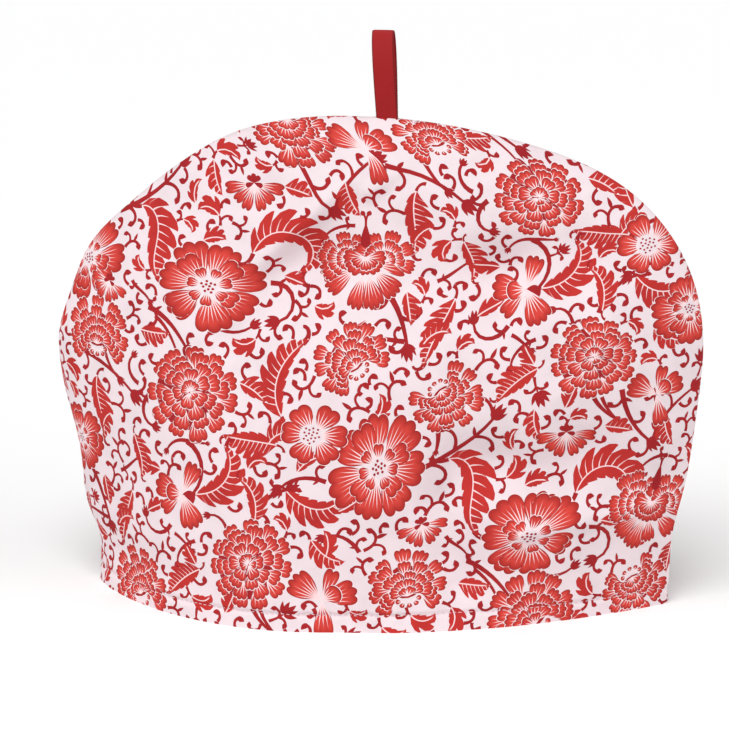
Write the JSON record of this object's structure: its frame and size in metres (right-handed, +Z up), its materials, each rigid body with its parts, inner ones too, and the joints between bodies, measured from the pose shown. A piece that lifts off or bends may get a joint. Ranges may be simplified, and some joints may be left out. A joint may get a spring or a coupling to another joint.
{
  "type": "tea cosy",
  "caption": "Dome-shaped tea cosy: two padded cotton panels sewn round their curved edge, a turned hem and a ribbon loop at the crown.",
  "frame": {"origin": "middle of the base, on the plane that the hem stands on", "axes": "+Z up to the crown, +X along the wide way to the viewer's right, front panel towards -Y"},
  "size_m": [0.3182, 0.1357, 0.2795],
  "materials": {
    "printed_cotton": "matt cotton with an allover print",
    "red_ribbon": "woven ribbon, slightly silky"
  },
  "bodies": {
    "root": {"front_panel": "printed_cotton", "back_panel": "printed_cotton", "hanging_loop": "red_ribbon"}
  },
  "joints": []
}
